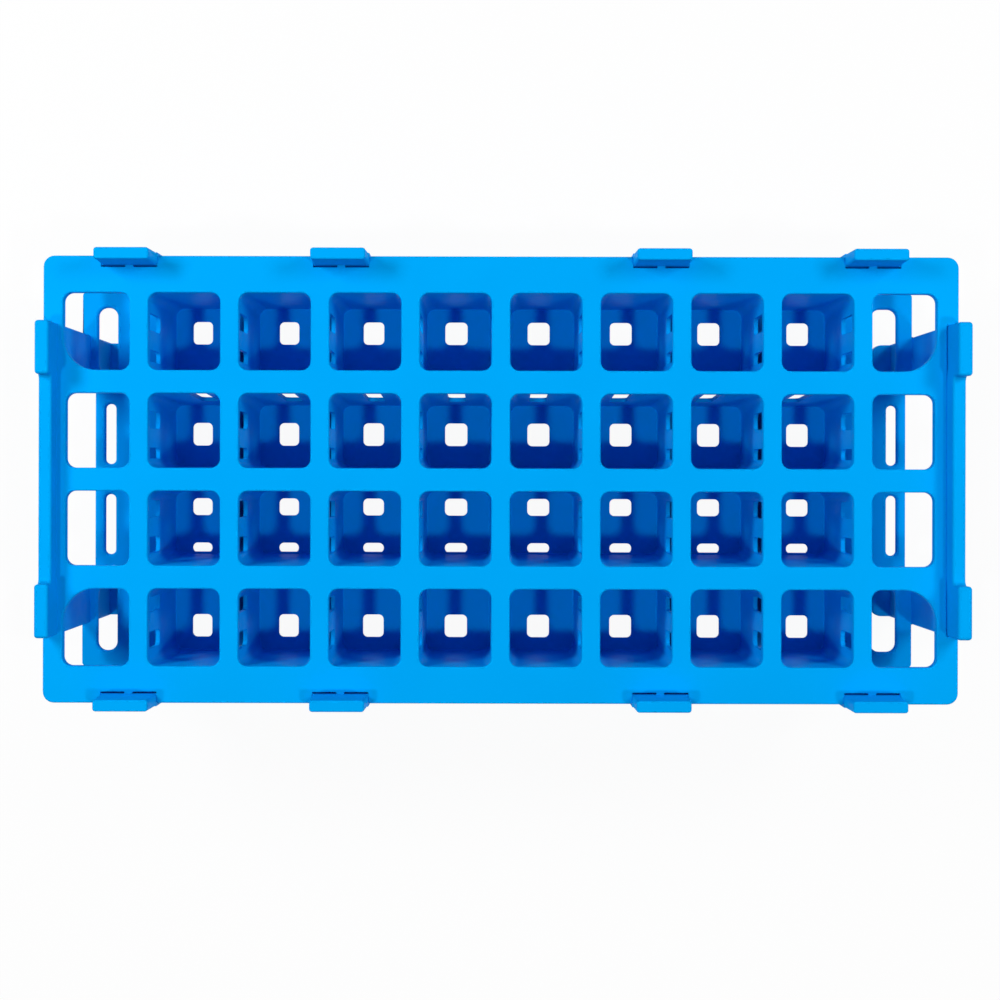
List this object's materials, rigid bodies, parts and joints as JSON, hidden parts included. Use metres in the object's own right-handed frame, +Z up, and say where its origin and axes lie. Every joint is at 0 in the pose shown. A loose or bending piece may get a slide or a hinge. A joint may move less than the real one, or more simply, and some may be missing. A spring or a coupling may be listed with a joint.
{
  "type": "stackable tube rack",
  "caption": "Open blue plastic tube rack on legs: rounded square places in a flat top plate, drained cells beneath, end grips and raised stacking lugs all round.",
  "frame": {"origin": "middle of the rack, on the table under its feet", "axes": "+X along the rack to the picture's right, +Y across it to the picture's top, +Z up"},
  "size_m": [0.2648, 0.1314, 0.075],
  "materials": {
    "blue_polypropylene": "satin"
  },
  "bodies": {
    "root": {"top_plate": "blue_polypropylene", "cell_row_1": "blue_polypropylene", "cell_row_2": "blue_polypropylene", "cell_row_3": "blue_polypropylene", "cell_row_4": "blue_polypropylene", "end_shelf_left": "blue_polypropylene", "end_shelf_right": "blue_polypropylene", "end_frame_left": "blue_polypropylene", "end_frame_right": "blue_polypropylene", "side_post_rear_1": "blue_polypropylene", "side_post_rear_2": "blue_polypropylene", "side_post_rear_3": "blue_polypropylene", "side_post_rear_4": "blue_polypropylene", "side_post_front_1": "blue_polypropylene", "side_post_front_2": "blue_polypropylene", "side_post_front_3": "blue_polypropylene", "side_post_front_4": "blue_polypropylene"}
  },
  "joints": []
}
